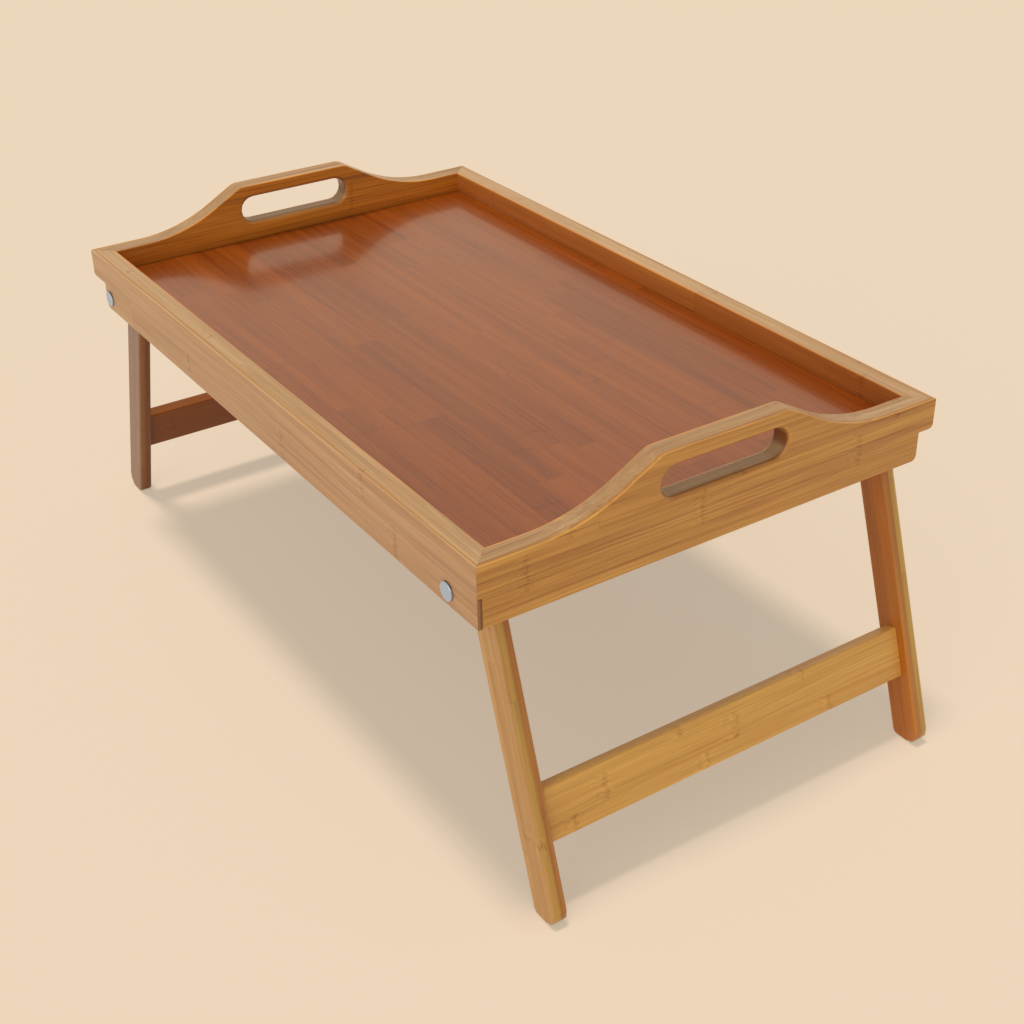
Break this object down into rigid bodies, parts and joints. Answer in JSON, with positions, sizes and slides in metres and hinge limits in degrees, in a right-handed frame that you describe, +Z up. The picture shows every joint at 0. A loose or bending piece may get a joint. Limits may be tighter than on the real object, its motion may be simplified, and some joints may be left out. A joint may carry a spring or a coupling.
{
  "type": "bed tray",
  "caption": "Bamboo bed tray with raised slotted end grips, a dark tray board set into low walls, and leg frames that fold flat underneath.",
  "frame": {"origin": "on the ground plane under the middle of the tray, with the legs standing", "axes": "+X along the tray to the front end panel, +Y to the right rail, +Z up"},
  "size_m": [0.5798, 0.3086, 0.2365],
  "materials": {
    "rail_bamboo": "satin lacquer on laminated bamboo",
    "panel_bamboo": "satin lacquer on laminated bamboo",
    "board_bamboo": "gloss lacquer on dark carbonised bamboo",
    "leg_bamboo": "satin lacquer on laminated bamboo",
    "bar_bamboo": "satin lacquer on laminated bamboo",
    "dowel_wood": "bare turned wood",
    "bolt_steel": "zinc plated, satin",
    "spacer_nylon": "matte",
    "washer_steel": "zinc plated, satin",
    "nut_steel": "zinc plated, satin"
  },
  "bodies": {
    "tray": {"rail_left": "rail_bamboo", "rail_right": "rail_bamboo", "end_panel_front": "panel_bamboo", "end_panel_rear": "panel_bamboo", "tray_board": "board_bamboo", "pivot_bolt_front_left": "bolt_steel", "pivot_bolt_front_right": "bolt_steel", "pivot_bolt_rear_left": "bolt_steel", "pivot_bolt_rear_right": "bolt_steel", "spacer_washer_front_left": "spacer_nylon", "spacer_washer_front_right": "spacer_nylon", "spacer_washer_rear_left": "spacer_nylon", "spacer_washer_rear_right": "spacer_nylon", "nut_washer_front_left": "washer_steel", "nut_washer_front_right": "washer_steel", "nut_washer_rear_left": "washer_steel", "nut_washer_rear_right": "washer_steel", "cap_nut_front_left": "nut_steel", "cap_nut_front_right": "nut_steel", "cap_nut_rear_left": "nut_steel", "cap_nut_rear_right": "nut_steel"},
    "leg_frame_front": {"leg_front_left": "leg_bamboo", "leg_front_right": "leg_bamboo", "cross_bar_front": "bar_bamboo", "bar_dowel_front_left_upper": "dowel_wood", "bar_dowel_front_left_lower": "dowel_wood", "bar_dowel_front_right_upper": "dowel_wood", "bar_dowel_front_right_lower": "dowel_wood"},
    "leg_frame_rear": {"leg_rear_left": "leg_bamboo", "leg_rear_right": "leg_bamboo", "cross_bar_rear": "bar_bamboo", "bar_dowel_rear_left_upper": "dowel_wood", "bar_dowel_rear_left_lower": "dowel_wood", "bar_dowel_rear_right_upper": "dowel_wood", "bar_dowel_rear_right_lower": "dowel_wood"}
  },
  "joints": [
    {"name": "front_leg_fold", "type": "hinge", "parent": "tray", "child": "leg_frame_front", "pos_m": [0.22255, 0, 0.1835], "axis": [0, 1, 0], "range_deg": [0, 108]},
    {"name": "rear_leg_fold", "type": "hinge", "parent": "tray", "child": "leg_frame_rear", "pos_m": [-0.22255, 0, 0.1835], "axis": [0, -1, 0], "range_deg": [0, 108]}
  ]
}
